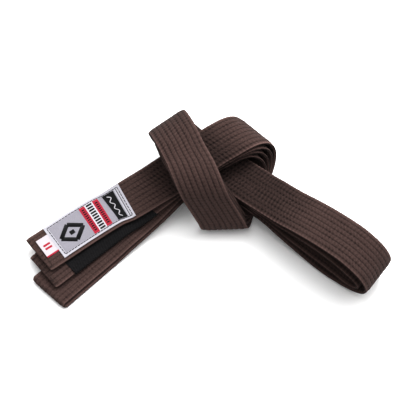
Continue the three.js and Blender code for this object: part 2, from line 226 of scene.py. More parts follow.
def fanned(layer, s, u):
    """Turns the layers of the left arm apart, each about the fans' pivots."""
    for pivot, ease, angles in FANS:
        angle = fan_angle(angles, layer)
        back = pivot - s
        turn = angle * np.minimum(back / ease, 1)
        beyond = np.maximum(back - ease, 0)
        radius = ease / np.where(angle == 0, 1, angle)
        reach = radius + u
        turned = (back > 0) & (angle != 0)
        new_s = pivot - reach * np.sin(turn) - beyond * np.cos(turn)
        new_u = reach * np.cos(turn) - beyond * np.sin(turn) - radius
        s, u = np.where(turned, new_s, s), np.where(turned, new_u, u)
    return s, u


def slant_at(s):
    """Slant of the line across the belt, which follows the fold lines of the bends."""
    known_s, known = [-1000.0, 0.0], [0.0, 0.0]
    for at, length, angle, slant, flat in BENDS:
        if not flat:
            known_s += [at, at + length / math.cos(slant)]
            known += [slant, slant]
    known_s.append(known_s[-1] + HALF_WIDTH)
    known.append(0.0)
    return np.interp(s, known_s, known)


# ------------------------------------------------------------------ the belt as one long strip
# Stations along the belt: place (s, h) of its middle, direction (ds, dh), slant of the line across.

FIELDS = ("s", "h", "ds", "dh", "slant", "layer", "shift")


def layer_run(layer, s, direction):
    """Stations along one layer, walked forward (1) or backward (-1)."""
    turned = sum(
        fan_angle(angles, np.full(s.shape, layer)) * np.clip((pivot - s) / ease, 0, 1)
        for pivot, ease, angles in FANS
    )
    return {
        "s": s,
        "h": layer_height(layer, s),
        "ds": np.full(s.shape, float(direction)),
        "dh": np.zeros(s.shape),
        "slant": slant_at(s) + turned * np.clip(s / ARM["rise_at"], 0, 1),
        "layer": np.full(s.shape, layer),
        "shift": np.zeros(s.shape),
    }


def spline_run(points, step):
    """Stations along the curve through the points (s, h), turned round so that it runs backward."""
    pts = np.array(points, float)
    padded = np.vstack([pts[:1], pts, pts[-1:]])
    t = np.linspace(0, 1, 60, endpoint=False)[:, None]
    spans = []
    for p0, p1, p2, p3 in zip(padded, padded[1:], padded[2:], padded[3:]):
        m1, m2 = (p2 - p0) / 2, (p3 - p1) / 2
        spans.append((2 * t**3 - 3 * t**2 + 1) * p1 + (t**3 - 2 * t**2 + t) * m1
                     + (-2 * t**3 + 3 * t**2) * p2 + (t**3 - t**2) * m2)
    curve = np.vstack(spans + [pts[-1:]])
    length = np.concatenate([[0], np.cumsum(np.hypot(*np.diff(curve, axis=0).T))])
    at = np.linspace(0, length[-1], int(length[-1] / step) + 1)
    s, h = np.interp(at, length, curve[:, 0]), np.interp(at, length, curve[:, 1])
    heading = np.unwrap(np.arctan2(np.gradient(curve[:, 1]), np.gradient(curve[:, 0])))
    heading = np.interp(at, length, heading)
    return {
        "s": s, "h": h, "ds": np.cos(heading), "dh": np.sin(heading),
        "slant": np.zeros(s.shape), "layer": np.full(s.shape, 1), "shift": np.zeros(s.shape),
    }


def loop_run(loop, top_layer, bottom_layer, step, backward):
    """Stations round a loop of the right arm, which joins two layers."""
    start = MARKS["right_arm"]
    top, bottom = layer_height(top_layer, start), layer_height(bottom_layer, start)
    points = [(start, top), (start + LOOP_LEAD, top)]
    points += [(MARKS["tip"] - back, TUNNEL["height"] - height) for back, height in loop]
    points += [(start + LOOP_LEAD, bottom), (start, bottom)]
    return spline_run(points[::-1] if backward else points, step)


def fold_run():
    """The centre fold of the belt, from layer 4 up to layer 3."""
    middle = (layer_height(3, FOLD_TAIL) + layer_height(4, FOLD_TAIL)) / 2
    half = LAYER_PITCH / 2
    angle = np.linspace(1.5 * math.pi, 0.5 * math.pi, 14)
    return {
        "s": FOLD_TAIL + half + CENTRE_FOLD_GAP + half * np.cos(angle),
        "h": middle + half * np.sin(angle),
        "ds": np.sin(angle), "dh": -np.cos(angle),
        "slant": np.zeros(angle.shape), "layer": np.full(angle.shape, 3),
        "shift": np.zeros(angle.shape),
    }


def spaced(stretches):
    """Places along a layer: stretches are (from, to, step)."""
    parts = [np.arange(a, b, step if b > a else -step) for a, b, step in stretches]
    return np.concatenate(parts)


FINE, MIDDLING, COARSE = 0.9, 1.5, 3.0
LOOP_STEP = 1.2
BAR_STEP = 1.0
fold_straight = FOLD_TAIL + LAYER_PITCH / 2 + CENTRE_FOLD_GAP
runs = [
    layer_run(1, spaced([
        (LABEL_TAIL, MARKS["tunnel"] + 5, FINE), (MARKS["tunnel"] + 5, MARKS["right_arm"], COARSE),
    ]), 1),
    loop_run(OUTER_LOOP, 4, 1, FINE, True),
    layer_run(4, spaced([
        (MARKS["right_arm"] - FINE, MARKS["tunnel"], FINE),
        (MARKS["tunnel"], MARKS["curl_end"], COARSE),
        (MARKS["curl_end"], MARKS["curl"], MIDDLING),
        (MARKS["curl"], 40, COARSE), (40, fold_straight, MIDDLING),
    ]), -1),
    fold_run(),
    layer_run(3, spaced([
        (fold_straight + FINE, 150, MIDDLING), (150, MARKS["curl"], COARSE),
        (MARKS["curl"], MARKS["curl_end"], MIDDLING),
        (MARKS["curl_end"], MARKS["right_arm"], COARSE),
    ]), 1),
    loop_run(INNER_LOOP, 3, 2, LOOP_STEP, False),
    layer_run(2, spaced([
        (MARKS["right_arm"] - FINE, MARKS["curl_end"], COARSE),
        (MARKS["curl_end"], MARKS["curl"], MIDDLING), (MARKS["curl"], 190, COARSE),
        (190, BAR_TAIL, BAR_STEP),
    ]), -1),
]
BELT = {field: np.concatenate([run[field] for run in runs]) for field in FIELDS}
kind = np.concatenate([np.full(len(run["s"]), i) for i, run in enumerate(runs)])
LAYER_1, OUTER, LAYER_4, FOLD, LAYER_3, INNER, LAYER_2 = range(7)


def ease_joints(runs_in_order):
    """Smooths the strip's path where the loops of the right arm begin and end."""
    ends = np.cumsum([len(run["s"]) for run in runs_in_order])
    path = np.stack([BELT["s"], BELT["h"]], axis=-1)
    length = np.concatenate([[0], np.cumsum(np.hypot(*np.diff(path, axis=0).T))])
    for joint in (ends[LAYER_1], ends[OUTER], ends[LAYER_3], ends[INNER]):
        away = np.abs(length - length[joint])
        near, wide = np.where(away < EASE_REACH)[0], np.where(away < 3 * EASE_REACH)[0]
        weight = 1 - smooth((away[near] - 0.4 * EASE_REACH) / (0.6 * EASE_REACH))
        even = np.arange(length[wide[0]], length[wide[-1]], 0.5)
        even_path = [np.interp(even, length[wide], path[wide, k]) for k in (0, 1)]
        for i, share in zip(near, weight):
            kernel = np.exp(-(((even - length[i]) / (0.45 * EASE_REACH)) ** 2))
            kernel /= kernel.sum()
            plain = (BELT["s"][i], BELT["h"][i])
            path[i] = [p * (1 - share) + share * (kernel @ e) for p, e in zip(plain, even_path)]
        heading = np.gradient(path[near], axis=0)
        heading /= np.linalg.norm(heading, axis=1)[:, None]
        BELT["s"][near], BELT["h"][near] = path[near, 0], path[near, 1]
        BELT["ds"][near[1:-1]], BELT["dh"][near[1:-1]] = heading[1:-1, 0], heading[1:-1, 1]


ease_joints(runs)

# the cut ends and the centre fold are skewed a little
skewed = 1 - smooth((BELT["s"] + END_SKEW["start"]) / END_SKEW["over"])
skewed = skewed * np.isin(kind, (LAYER_1, LAYER_3, LAYER_4, FOLD))
BELT["slant"] = BELT["slant"] - END_SKEW["slope"] * skewed

# the upper layers rise a little earlier at the root of the right arm
to_rise = np.abs(BELT["s"] - MARKS["right_arm"] - EARLY_RISE["after"])
rise_early = 1 - to_rise / EARLY_RISE["reach"]
upper = np.isin(kind, (LAYER_4, LAYER_3)) | ((BELT["h"] < 0) & np.isin(kind, (OUTER, INNER)))
BELT["h"] = BELT["h"] - np.where(upper, EARLY_RISE["height"] * smooth(rise_early), 0)

# the lowest layer of the left arm stands a little proud of the one above it
fold_share = np.linspace(0, 1, (kind == FOLD).sum())
BELT["shift"] = np.select(
    [kind == LAYER_4, kind == LAYER_3], [-FOLD_STEP["side"], FOLD_STEP["side"] / 2])
BELT["shift"] *= 1 - smooth((BELT["s"] - FOLD_STEP["fades_at"]) / FOLD_STEP["over"])
BELT["shift"][kind == FOLD] = FOLD_STEP["side"] * (1.5 * fold_share - 1)


def valley(s, u):
    """Extra height where the left arm begins to rise, so that it rises in a curve."""
    past = s + VALLEY["skew"] * u - ARM["rise_at"]
    bump = np.exp(-((past - VALLEY["after"]) / VALLEY["reach"]) ** 2)
    return VALLEY["height"] * bump * (1 - VALLEY["tilt"] * u / HALF_WIDTH)


def bundle_points(stations, u, t):
    """World places (N, K, 3) in millimetres of points u across and t out from each station."""
    field = {name: stations[name][:, None] for name in FIELDS}
    along = field["s"] - field["dh"] * t + u * np.tan(field["slant"])
    layer = np.broadcast_to(field["layer"], along.shape)
    s, u = fanned(layer, along, np.broadcast_to(u + field["shift"], along.shape))
    points = place(s, u, np.broadcast_to(field["h"] + field["ds"] * t, along.shape))
    points[..., 2] += valley(s, u)
    return points


middle_line = bundle_points(BELT, np.zeros((1, 1)), np.zeros((1, 1)))[:, 0]
steps = np.linalg.norm(np.diff(middle_line, axis=0), axis=1)
BELT["distance"] = np.concatenate([[0], np.cumsum(np.maximum(steps, 1e-4))])
BELT_LENGTH = BELT["distance"][-1]


def station_at(distance):
    """Stations at places along the belt."""
    index = np.clip(np.searchsorted(BELT["distance"], distance), 0, len(kind) - 1)
    found = {f: np.interp(distance, BELT["distance"], BELT[f]) for f in FIELDS if f != "layer"}
    found["layer"] = BELT["layer"][index]
    found["distance"] = distance
    return found


# ------------------------------------------------------------------ quilted section

ROW_GAP = 4.6
ROWS = np.arange(-16.1, 16.2, ROW_GAP)
STITCH = 3.6
row_phase = rng.uniform(-0.9, 0.9, len(ROWS))
row_drift = rng.uniform(0, 2 * math.pi, len(ROWS))
sway_phase = rng.uniform(0, 2 * math.pi, 4)

QUILT = {
    "half_thickness": 1.66, "groove_width": 0.62, "pucker_width": 1.5, "pucker_depth": 0.42,
    "ridge_depth": 0.2, "rim_pinch": 0.28, "rim_pucker": 0.3, "rim_from": 15.4, "rim_over": 2.6,
}
UNEVEN = {"share": 0.28, "fast": 4.7, "slow": 9.1}  # how the stitch holes differ in depth
RIM = 18.2  # the section is rounded off beyond this
LOWER_LAYERS = {"groove": 0.4, "pucker": 0.8}
QUILTING = [
    # place along the bundle, groove depth, pucker strength
    (0, 0.2, 0.45), (95, 0.24, 0.5), (120, 0.4, 0.9), (140, 0.5, 1.5), (190, 0.55, 1.6),
    (222, 0.42, 0.7), (MARKS["curl"] + 60, 0.4, 0.6), (MARKS["curl_end"], 0.45, 0.8),
    (MARKS["band"], 0.6, 0.5), (MARKS["band_top"], 0.62, 0.75), (MARKS["top_fold"], 0.55, 1.1),
    (MARKS["tunnel"], 0.55, 1.6), (MARKS["right_arm"], 0.5, 1.6),
    (MARKS["right_arm"] + 45, 0.5, 0.95),
]


def quilting(stations):
    """Groove depth and pucker strength along the belt, as (groove, pucker) per station."""
    known, grooves, puckers = zip(*QUILTING)
    groove = np.interp(stations["s"], known, grooves)
    pucker = np.interp(stations["s"], known, puckers)
    lower = stations["layer"] != 1
    groove = np.where(lower, np.maximum(groove, LOWER_LAYERS["groove"]), groove)
    return groove, np.where(lower, np.maximum(pucker, LOWER_LAYERS["pucker"]), pucker)


def stitch_phase(distance, row):
    """Phase of the stitches of each row, a full turn per stitch; the pitch wanders a little."""
    wander = 0.8 * np.sin(distance / 31 + row_drift[row])
    wander = wander + 0.5 * np.sin(distance / 11.3 + 2 * row_drift[row])
    return 2 * math.pi * distance / STITCH + row_phase[row] + wander


def half_thickness(stations, u):
    """Half thickness (N, K) at u, with the masks for the painted shade on the cloth there."""
    distance = stations["distance"][:, None]
    row = np.abs(u[:, None] - ROWS).argmin(axis=1)
    offset = u - ROWS[row]
    groove = np.exp(-((offset / QUILT["groove_width"]) ** 2))
    wide = np.exp(-((offset / QUILT["pucker_width"]) ** 2))
    drift = row_drift[row]
    uneven = np.sin(distance / UNEVEN["fast"] + 3 * drift)
    uneven = uneven * np.sin(distance / UNEVEN["slow"] + 5 * drift)
    hole = 0.5 + 0.5 * np.cos(stitch_phase(distance, row))
    hole = hole * (1 - UNEVEN["share"] + UNEVEN["share"] * uneven)
    depth, pucker = (v[:, None] for v in quilting(stations))
    thickness = QUILT["half_thickness"] - depth * groove * (1 - 0.3 * pucker * (1 - hole))
    thickness = thickness - QUILT["pucker_depth"] * pucker * hole**2 * wide
    ripple = 2 * math.pi * distance / STITCH + u / 3.1 + 0.8 * np.sin(distance / 23)
    crest = 0.5 + 0.5 * np.sin(ripple)
    thickness = thickness - QUILT["ridge_depth"] * pucker * crest * (1 - wide)
    pinched = QUILT["rim_pinch"] + QUILT["rim_pucker"] * hole * np.minimum(pucker, 1)
    outside = smooth((np.abs(u) - QUILT["rim_from"]) / QUILT["rim_over"])
    thickness = thickness * (1 - pinched * outside)
    rim = np.clip((np.abs(u) - RIM) / (HALF_WIDTH - RIM), 0, 1)
    # masks of the painted shade: stitch hollows, grooves, ripples between the rows, and the cloth
    # near the knot
    shades = {
        "hole": np.minimum(hole * pucker, 1),
        "groove": groove * depth / 0.6,
        "wide": wide,
        "ripple_shade": crest * (1 - wide) * pucker,
        "knot_shade": np.clip(pucker - 1, 0, 0.6) / 0.6,
    }
    return thickness * np.sqrt(1 - rim**2), shades


def section(fine_side):
    """Points (u, side) round the section, with more of them on the face that shows."""
    fine, coarse = [], []
    for i, row in enumerate(ROWS):
        fine += [row - 0.95, row - 0.38, row, row + 0.38, row + 0.95]
        coarse += [row - 0.7, row, row + 0.7]
        if i + 1 < len(ROWS):
            fine.append(row + 2.3)
            coarse.append(row + 2.3)
    rim = [17.7, 18.6, 19.3, 19.8]
    fine = [-u for u in reversed(rim)] + fine + rim
    coarse = [-u for u in reversed(rim)] + coarse + rim
    upper, lower = (fine, coarse) if fine_side > 0 else (coarse, fine)
    points = [(-20.0, 1)] + [(u, 1) for u in upper]
    points += [(20.0, 1)] + [(u, -1) for u in reversed(lower)]
    return np.array([p[0] for p in points]), np.array([p[1] for p in points])


SWAY_OUT = ((0.07, 37), (0.05, 17))  # (amount, wavelength / 2 pi) of each wave
SWAY_SIDE = ((0.3, 61), (0.14, 23))


def sway(distance):
    """Slow wandering of the belt, out of its plane and sideways."""
    return [
        sum(amount * np.sin(distance / length + phase)
            for (amount, length), phase in zip(waves, phases))
        for waves, phases in ((SWAY_OUT, sway_phase[:2]), (SWAY_SIDE, sway_phase[2:]))
    ]


TAIL = {
    "closes_over": 4.5, "seam_at": 3, "seam_width": 0.8, "seam_depth": 0.14,
    "narrower": 0.035, "narrows_over": 3.2,
}


def tail_pinch(distance):
    """(thickness, width) factors that close the belt at its two cut ends."""
    back = np.minimum(distance, BELT_LENGTH - distance)
    seam = np.exp(-(((back - TAIL["seam_at"]) / TAIL["seam_width"]) ** 2))
    thickness = 0.5 + 0.5 * smooth(back / TAIL["closes_over"]) - TAIL["seam_depth"] * seam
    width = 1 - TAIL["narrower"] * (1 - smooth(back / TAIL["narrows_over"]))
    return thickness, width


def vectors(shape, *values):
    """Three values, each spread over the shape, as one list of vectors."""
    return np.stack([np.broadcast_to(v, shape) for v in values], axis=-1).reshape(-1, 3)


def cloth_mesh(name, points, faces, cloth, material, shade=None):
    """A mesh from millimetre points, with cloth coordinates and shading values at its points."""
    shade = np.zeros(np.shape(cloth)) if shade is None else shade
    mesh = bpy.data.meshes.new(name)
    mesh.from_pydata((points * MM).tolist(), [], faces)
    mesh.polygons.foreach_set("use_smooth", [True] * len(mesh.polygons))
    mesh.attributes.new("cloth", "FLOAT_VECTOR", "POINT").data.foreach_set(
        "vector", np.asarray(cloth, np.float32).ravel())
    mesh.attributes.new("shade", "FLOAT_VECTOR", "POINT").data.foreach_set(
        "vector", np.asarray(shade, np.float32).ravel())
    mesh.materials.append(material)
    mesh.update()
    made = bpy.data.objects.new(name, mesh)
    bpy.context.scene.collection.objects.link(made)
    return made


def tube_faces(rings, sides, flip):
    """Faces of a tube of rings, closed at both ends."""
    a = np.arange(rings - 1)[:, None] * sides + np.arange(sides)[None, :]
    b = np.arange(rings - 1)[:, None] * sides + (np.arange(sides)[None, :] + 1) % sides
    quads = np.stack([a, b, b + sides, a + sides], axis=-1).reshape(-1, 4)
    caps = [list(range(sides))[::-1], list(range((rings - 1) * sides, rings * sides))]
    if flip:
        quads, caps = quads[:, ::-1], [cap[::-1] for cap in caps]
    return quads.tolist() + caps


# places and strengths of the painted shade (stitch hollows, side walls, ripples, near the knot) and
# of the lighter edges (wear, with a painted highlight round the curl)
SHADES = {
    "rim_from": 17.9, "rim_over": 1.2, "wall_from": 19.35, "wall_over": 0.5,
    "curl_highlight": 1.1, "edge_light_spared": 0.6,
    "hole": 0.85, "rim_hole": 0.7, "hole_power": 1.3, "wall": 0.72, "ripple_shade": 0.42, "knot_shade": 0.42,
}


def belt_cover(name, first, last, fine_side, material):
    """The quilted cover over a range of stations, with painted shade and edges lighter from wear and
    from a painted highlight round the curl.
    """
    stations = {f: BELT[f][first:last + 1] for f in FIELDS + ("distance",)}
    u, side = section(fine_side)
    thickness, shades = half_thickness(stations, u)
    distance = stations["distance"][:, None]
    out, across = sway(distance)
    thin, narrow = tail_pinch(distance)
    t = side * thickness * thin + out
    points = bundle_points(stations, u * narrow + across * np.minimum(1, distance / 30), t)
    rim = smooth((np.abs(u) - SHADES["rim_from"]) / SHADES["rim_over"])
    wall = smooth((np.abs(u) - SHADES["wall_from"]) / SHADES["wall_over"])
    hole = shades["hole"]
    # painted highlight: the edges round the curl, which lie in shade, are made lighter
    curl_highlight_gain = 1 + SHADES["curl_highlight"] * curl_opening(stations["s"])[:, None]
    edge = rim * (1 - wall) * (1 - SHADES["edge_light_spared"] * hole) * curl_highlight_gain
    # painted shade: darker in the stitch hollows and at the rounded rims
    painted_shade = np.maximum(SHADES["hole"] * shades["wide"], SHADES["rim_hole"] * rim)
    painted_shade = painted_shade * hole ** SHADES["hole_power"]
    # painted shade on the side walls, in the gaps between the layers
    painted_shade = np.maximum(painted_shade, wall * (SHADES["wall"] + (1 - SHADES["wall"]) * hole))
    # painted shade in the ripples between the rows
    painted_shade = np.maximum(painted_shade, SHADES["ripple_shade"] * shades["ripple_shade"])
    # painted shade near the knot, where the band and the curl shade the cloth
    painted_shade = painted_shade + (1 - painted_shade) * SHADES["knot_shade"] * shades["knot_shade"]
    return cloth_mesh(
        name, points.reshape(-1, 3), tube_faces(*t.shape, True),
        vectors(t.shape, distance, u, side), material, vectors(t.shape, shades["groove"], painted_shade, edge))


# ------------------------------------------------------------------ materials

class Shader:
    """Short hand for building one material's nodes."""

    def __init__(self, name, roughness, sheen=0.0, sheen_roughness=0.5):
        self.material = bpy.data.materials.new(name)
        self.material.use_nodes = True
        self.tree = self.material.node_tree
        self.surface = self.tree.nodes["Principled BSDF"]
        self.surface.inputs["Roughness"].default_value = roughness
        self.surface.inputs["Sheen Weight"].default_value = sheen
        self.surface.inputs["Sheen Roughness"].default_value = sheen_roughness
        self.surface.inputs["Specular IOR Level"].default_value = 0.12

    def link(self, value, socket):
        if isinstance(value, bpy.types.NodeSocket):
            self.tree.links.new(value, socket)
        else:
            socket.default_value = value

    def math(self, operation, a, b=0.0):
        node = self.tree.nodes.new("ShaderNodeMath")
        node.operation = operation
        self.link(a, node.inputs[0])
        self.link(b, node.inputs[1])
        return node.outputs[0]

    def attribute(self, name):
        node = self.tree.nodes.new("ShaderNodeAttribute")
        node.attribute_name = name
        parts = self.tree.nodes.new("ShaderNodeSeparateXYZ")
        self.link(node.outputs["Vector"], parts.inputs[0])
        return node.outputs["Vector"], parts.outputs

    def noise(self, vector, scale, detail=2.0):
        node = self.tree.nodes.new("ShaderNodeTexNoise")
        self.link(vector, node.inputs["Vector"])
        node.inputs["Scale"].default_value = scale
        node.inputs["Detail"].default_value = detail
        return node.outputs["Fac"]

    def mix(self, factor, a, b):
        node = self.tree.nodes.new("ShaderNodeMix")
        node.data_type = "RGBA"
        self.link(factor, node.inputs["Factor"])
        self.link(a, node.inputs["A"])
        self.link(b, node.inputs["B"])
        return node.outputs["Result"]

    def wave(self, value, pitch):
        angle = self.math("MULTIPLY", value, 2 * math.pi / pitch)
        return self.math("MULTIPLY_ADD", self.math("SINE", angle), 0.5)

    def finish(self, color, height, strength, distance):
        self.link(color, self.surface.inputs["Base Color"])
        bump = self.tree.nodes.new("ShaderNodeBump")
        bump.inputs["Strength"].default_value = strength
        bump.inputs["Distance"].default_value = distance
        self.link(height, bump.inputs["Height"])
        self.tree.links.new(bump.outputs["Normal"], self.surface.inputs["Normal"])
        return self.material


def scaled(color, factor):
    return [c * factor for c in color[:3]] + [1]


def cover_material(name, base):
    """Brown cotton drill: twill weave, mottling, painted shade in the stitch grooves and hollows,
    edges lighter from wear and from a painted highlight round the curl.
    """
    shader = Shader(name, 0.95, sheen=0.03)
    cloth, (along, across, _) = shader.attribute("cloth")
    # the shade attribute holds painted shade (the grooves; the stitch hollows, side walls, ripples
    # and the cloth near the knot) and the lighter edges (wear, with a painted highlight round the
    # curl)
    _, (groove, painted_shade, edge) = shader.attribute("shade")
    diagonal = shader.math("ADD", along, shader.math("MULTIPLY", across, 0.8))
    steep = shader.math("SUBTRACT", across, shader.math("MULTIPLY", along, 0.15))
    twill = shader.wave(diagonal, 0.62)
    threads = shader.wave(steep, 0.47)
    weave = shader.math("MULTIPLY", twill, threads)
    patches = shader.noise(cloth, 0.06, 3)
    grain = shader.noise(cloth, 0.9, 2)
    fleck = shader.math("POWER", shader.noise(cloth, 1.3, 3), 3.0)
    color = shader.mix(patches, scaled(base, 0.8), scaled(base, 1.2))
    # groove and the hollows are painted shade; edge is wear, with a painted highlight round the curl
    tints = [  # where, how strong, and how light the cloth is there
        (grain, 0.5, 1.35), (fleck, 2.2, 2.2), (weave, 0.36, 0.4), (groove, 0.55, 0.3),
        (painted_shade, 0.9, 0.08), (edge, 0.65, 2.6),
    ]
    for where, strength, lightness in tints:
        color = shader.mix(shader.math("MULTIPLY", where, strength), color, scaled(base, lightness))
    height = shader.math("ADD", weave, shader.math("MULTIPLY", grain, 0.8))
    return shader.finish(color, height, 0.35, 0.00025)


def thread_material(name, base):
    """Twisted sewing thread."""
    shader = Shader(name, 0.7, sheen=0.1)
    _, (along, across, _) = shader.attribute("cloth")
    twist = shader.wave(shader.math("ADD", along, across), 0.5)
    color = shader.mix(twist, scaled(base, 0.7), scaled(base, 1.3))
    return shader.finish(color, twist, 0.3, 0.0001)


def woven_material(name, base, pitch, depth, dark=0.6, light=1.3, roughness=0.8, sheen=0.1):
    """Plain weave of a given thread pitch."""
    shader = Shader(name, roughness, sheen=sheen)
    cloth, (along, across, _) = shader.attribute("cloth")
    over = shader.wave(along, pitch)
    under = shader.wave(across, pitch * 0.8)
    checks = shader.math("ABSOLUTE", shader.math("SUBTRACT", over, under))
    grain = shader.noise(cloth, 0.8, 3)
    color = shader.mix(checks, scaled(base, dark), scaled(base, light))
    color = shader.mix(shader.math("MULTIPLY", grain, 0.4), color, scaled(base, 0.75))
    return shader.finish(color, checks, depth, 0.0003)


BROWN = [0.055, 0.0353, 0.0318, 1]
COVER = cover_material("brown_drill", BROWN)
QUILT_THREAD = thread_material("brown_thread", scaled(BROWN, 0.5))
BAR_CLOTH = woven_material("black_weave", [0.0105, 0.01, 0.0108, 1], 2.1, 0.8, dark=0.3,
                           light=2.2, roughness=0.9, sheen=0.02)
LABEL_BORDER = woven_material("label_border_weave", [0.46, 0.45, 0.49, 1], 0.5, 0.3, 0.85, 1.08)
LABEL_FIELD = woven_material("label_field_weave", [0.3, 0.29, 0.325, 1], 0.9, 0.5, 0.78, 1.14)
LABEL_BLACK = woven_material("label_black_weave", [0.012, 0.012, 0.0135, 1], 0.5, 0.3)
LABEL_RED = woven_material("label_red_weave", [0.36, 0.03, 0.055, 1], 0.5, 0.3, 0.8, 1.15)
LABEL_WHITE = woven_material("label_white_weave", [0.5, 0.49, 0.52, 1], 0.5, 0.3, 0.9, 1.05)
SEAM_THREAD = thread_material("dark_thread", [0.02, 0.019, 0.024, 1])
BAR_THREAD = thread_material("black_thread", [0.012, 0.011, 0.012, 1])
TAG_WHITE = woven_material("tag_tape", [0.5, 0.465, 0.49, 1], 0.6, 0.2, 0.92, 1.04)

# ------------------------------------------------------------------ covers

COVER_SPLIT = 190  # under the band, where the seam between two covers is hidden


def place_index(run, s):
    """The station of a run nearest to s."""
    return int(np.abs(np.where(kind == run, BELT["s"] - s, 1e6)).argmin())


def layer_point(layer, s):
    """World place in metres of the middle of a layer."""
    found = layer_run(layer, np.array([float(s)]), 1)
    return tuple(bundle_points(found, np.zeros((1, 1)), np.zeros((1, 1)))[0, 0] * MM)


split_1 = place_index(LAYER_1, COVER_SPLIT)
split_2 = place_index(LAYER_2, COVER_SPLIT)
last = len(kind) - 1


# places on the two loose ends, between which the ends bend; the script only works them out
LABEL_BEND = (layer_point(1, 152), layer_point(1, 112))
BAR_BEND = (layer_point(2, 146), layer_point(2, 114))

label_cover = belt_cover("label_end_cover", 0, split_1, 1, COVER)
knot_cover = belt_cover("knot_cover", split_1, split_2, 1, COVER)
bar_cover = belt_cover("rank_bar_end_cover", split_2, last, -1, COVER)

# ------------------------------------------------------------------ threads

THREAD = 0.24  # half its thickness
STITCH_SHARE = 0.72
STITCH_FACES = tube_faces(4, 4, False)


def stitch_rows(name, first, last, side, material):
    """The quilting stitches of a range of stations, sunk in their grooves."""
    span = BELT["distance"][first], BELT["distance"][last]
    base = np.arange(span[0], span[1], 0.05)
    points, faces, cloth = [], [], []
    count = 0
    for row, row_u in enumerate(ROWS):
        turns = stitch_phase(base, row) / (2 * math.pi)
        whole = np.arange(math.ceil(turns[0]), math.floor(turns[-1]))
        centre = np.interp(whole + 0.5, turns, base)
        half = STITCH * STITCH_SHARE / 2
        keep = (centre - half > span[0] + 0.5) & (centre + half < span[1] - 0.5)
        centre = centre[keep]
        rings = []
        for offset, rise in ((-1, -0.3), (-0.5, 0.12), (0.5, 0.12), (1, -0.3)):
            stations = station_at(centre + offset * half)
            thickness = half_thickness(stations, np.array([row_u]))[0]
            out, across = sway(stations["distance"][:, None])
            u = row_u + across + np.array([[-THREAD, THREAD, THREAD, -THREAD]])
            t = side * (thickness + rise) + out + side * np.array([[-0.14, -0.14, 0.1, 0.1]])
            rings.append(bundle_points(stations, u, t))
        made = np.stack(rings, axis=1).reshape(-1, 3)
        points.append(made)
        for i in range(len(centre)):
            start = count + i * 16
            faces += [[start + q for q in quad] for quad in STITCH_FACES]
        count += len(made)
        cloth.append(vectors(len(made), np.repeat(centre, 16), row_u, 0))
    return cloth_mesh(name, np.concatenate(points), faces, np.concatenate(cloth), material)


label_stitches = stitch_rows("label_end_quilting", 0, split_1, 1, QUILT_THREAD)
loop_start = place_index(INNER, MARKS["tip"] - 60)
knot_stitches = [
    stitch_rows("knot_quilting_outer", split_1, place_index(LAYER_4, MARKS["tunnel"]), 1,
                QUILT_THREAD),
    stitch_rows("knot_quilting_inner_loop", loop_start, loop_start + 110, 1, QUILT_THREAD),
]
bar_stitches = stitch_rows("rank_bar_end_quilting", split_2, last, -1, QUILT_THREAD)

# ------------------------------------------------------------------ patches


def square_run(layer, s):
    """Stations whose line across is square to the belt."""
    return {**layer_run(layer, s, 1), "slant": np.zeros(s.shape)}


def slab(name, layer, s_range, u_range, t_range, material, step=2.0, lift=None):
    """A flat patch on a layer: a closed plate between two heights, bent with the belt."""
    s0, s1 = s_range
    u0, u1 = u_range
    count = max(int((s1 - s0) / step), 1) + 1
    s = np.linspace(s0, s1, count)
    across = np.linspace(u0, u1, max(int((u1 - u0) / 2.3), 1) + 1)
    stations = square_run(layer, s)
    low, high = t_range
    u = np.concatenate([across, across[::-1]])
    top = np.concatenate([np.zeros(len(across)), np.ones(len(across))])
    rise = np.zeros(count) if lift is None else lift(s)
    t = low + (high - low) * top[None, :] + rise[:, None]
    bulge = 0.05 * np.cos(2 * math.pi * (u[None, :] / ROW_GAP)) + 0.04 * np.sin(s[:, None] / 3.1)
    points = bundle_points(stations, u, t + bulge)
    made = cloth_mesh(name, points.reshape(-1, 3), tube_faces(*t.shape, True),
                      vectors(t.shape, s[:, None], u, top), material)
    made.data.polygons.foreach_set("use_smooth", [False] * len(made.data.polygons))
    return made


def joined(name, parts):
    """Several meshes of one material as one piece."""
    with bpy.context.temp_override(active_object=parts[0], selected_editable_objects=parts):
        bpy.ops.object.join()
    parts[0].name = name
    return parts[0]


def dashes(name, layer, path, width, t_range, material, dash=2.3, gap=0.9):
    """A row of raised stitches along straight lines between (s, u) points."""
    parts = []
    for (s0, u0), (s1, u1) in path:
        length = math.hypot(s1 - s0, u1 - u0)
        count = max(int(length / (dash + gap)), 1)
        for i in range(count):
            a = (i + 0.5) / count - dash / 2 / length
            b = (i + 0.5) / count + dash / 2 / length
            s = (s0 + (s1 - s0) * a, s0 + (s1 - s0) * b)
            u = (u0 + (u1 - u0) * a, u0 + (u1 - u0) * b)
            if abs(s1 - s0) > abs(u1 - u0):
                parts.append((s, (u[0] - width / 2, u[0] + width / 2)))
            else:
                parts.append(((s[0] - width / 2, s[0] + width / 2), (min(u), max(u))))
    meshes = [slab(name, layer, s, u, t_range, material) for s, u in parts]
    return joined(name, meshes)


